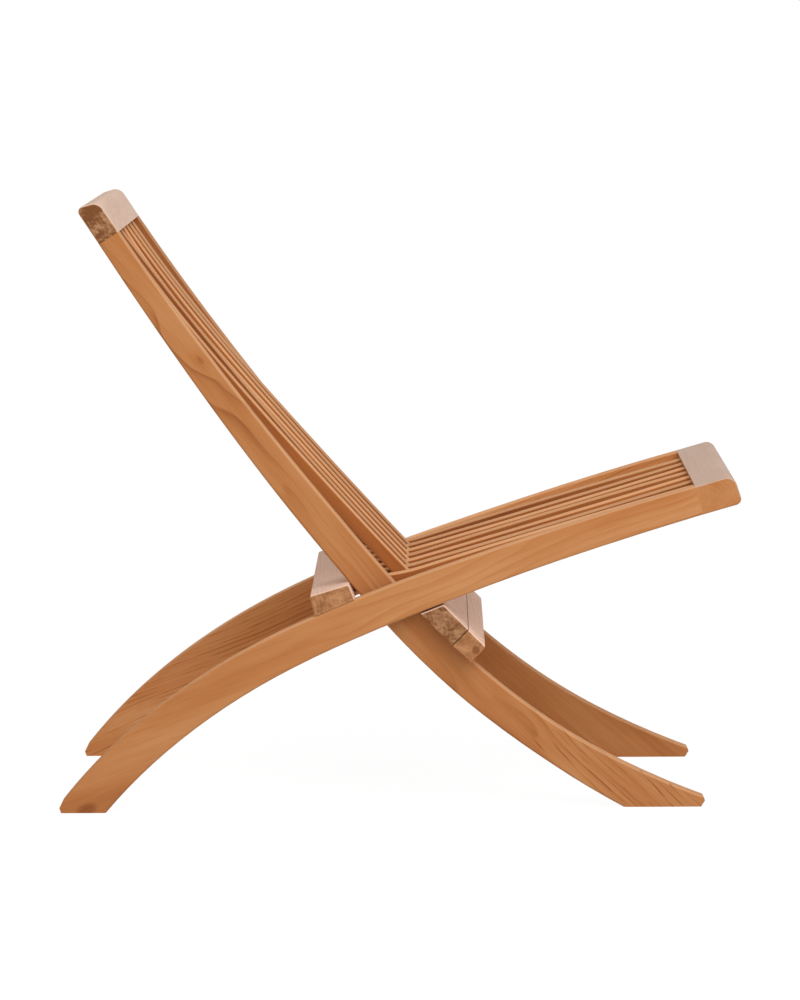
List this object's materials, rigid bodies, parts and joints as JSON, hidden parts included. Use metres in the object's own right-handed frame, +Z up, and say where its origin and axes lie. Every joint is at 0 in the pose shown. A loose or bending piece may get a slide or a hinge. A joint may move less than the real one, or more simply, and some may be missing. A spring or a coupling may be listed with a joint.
{
  "type": "folding slatted chair",
  "caption": "Low folding wooden lounge chair: a slatted seat frame and a slatted back frame cross at a side pivot, and the back folds forward over the seat.",
  "frame": {"origin": "on the floor under the middle of the open chair's length and width", "axes": "+X is the way the sitter faces, +Y is the sitter's left, +Z is up"},
  "size_m": [0.8526, 0.497, 0.7618],
  "materials": {
    "teak_rail": "satin",
    "teak_slat": "satin",
    "teak_block": "satin",
    "beech": "matte",
    "steel": "satin",
    "brass": "satin"
  },
  "bodies": {
    "seat_frame": {"seat_rail_right": "teak_rail", "seat_rail_left": "teak_rail", "seat_nose": "teak_block", "seat_rear_block": "teak_block", "seat_slat_1": "teak_slat", "seat_slat_2": "teak_slat", "seat_slat_3": "teak_slat", "seat_slat_4": "teak_slat", "seat_slat_5": "teak_slat", "seat_slat_6": "teak_slat", "seat_slat_7": "teak_slat", "nose_dowels": "beech", "rear_block_dowels": "beech", "pivot_bolt_right": "steel", "pivot_bolt_left": "steel", "pivot_insert_right": "brass", "pivot_insert_left": "brass", "pivot_washer_right": "steel", "pivot_washer_left": "steel"},
    "back_frame": {"back_rail_right": "teak_rail", "back_rail_left": "teak_rail", "back_top_cap": "teak_block", "support_plank_upper": "teak_block", "support_plank_lower": "teak_block", "back_slat_1": "teak_slat", "back_slat_2": "teak_slat", "back_slat_3": "teak_slat", "back_slat_4": "teak_slat", "back_slat_5": "teak_slat", "back_slat_6": "teak_slat", "cap_dowels": "beech", "support_dowels": "beech", "pivot_sleeve_right": "brass", "pivot_sleeve_left": "brass"}
  },
  "joints": [
    {"name": "fold", "type": "hinge", "parent": "seat_frame", "child": "back_frame", "pos_m": [-0.01221, 0, 0.2598], "axis": [0, 1, 0], "range_deg": [0, 104]}
  ]
}
